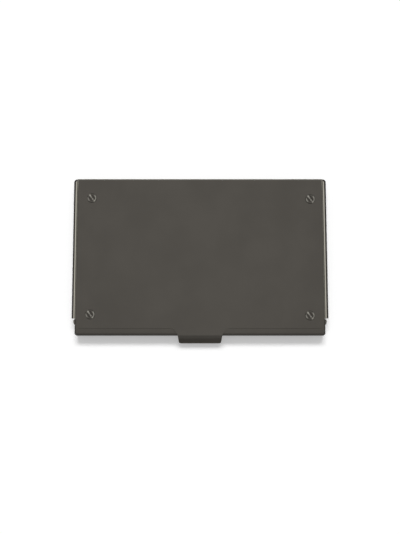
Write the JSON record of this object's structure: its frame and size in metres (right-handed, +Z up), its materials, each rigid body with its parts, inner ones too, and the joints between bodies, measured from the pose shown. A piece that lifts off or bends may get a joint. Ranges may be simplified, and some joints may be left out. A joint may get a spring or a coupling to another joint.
{
  "type": "metal business card case",
  "caption": "Flat flip-top metal case for business cards: a lid with a thumb tab, hinged at the rear between the side rails of a pressed tray.",
  "frame": {"origin": "centre of the footprint of the shut case, on the surface that it lies on", "axes": "+Z up from the resting face, +X to the right along the hinge, -Y towards the thumb tab at the front"},
  "size_m": [0.0948, 0.0614, 0.0075],
  "materials": {
    "lid_gunmetal": "satin gunmetal coat",
    "tray_gunmetal": "satin gunmetal coat, rubbed bright along the rail crests",
    "screw_gunmetal": "satin gunmetal coat, bright at the rims",
    "rivet_steel": "dark steel",
    "washer_steel": "bare steel",
    "liner_steel": "fine brushed bare steel",
    "spring_steel": "blued spring steel",
    "nut_steel": "bare steel"
  },
  "bodies": {
    "base": {"base_tray": "tray_gunmetal", "hinge_rivet_right": "rivet_steel", "hinge_rivet_left": "rivet_steel", "hinge_washer_right": "washer_steel", "hinge_washer_left": "washer_steel", "card_spring": "spring_steel", "spring_rivet_left": "rivet_steel", "spring_rivet_right": "rivet_steel"},
    "lid": {"lid_cover": "lid_gunmetal", "lid_liner": "liner_steel", "corner_screw_front_left": "screw_gunmetal", "corner_screw_front_right": "screw_gunmetal", "corner_screw_rear_left": "screw_gunmetal", "corner_screw_rear_right": "screw_gunmetal", "press_nut_front_left": "nut_steel", "press_nut_front_right": "nut_steel", "press_nut_rear_left": "nut_steel", "press_nut_rear_right": "nut_steel"}
  },
  "joints": [
    {"name": "lid_hinge", "type": "hinge", "parent": "base", "child": "lid", "pos_m": [0, 0.02737, 0.0037], "axis": [-1, 0, 0], "range_deg": [0, 95]}
  ]
}
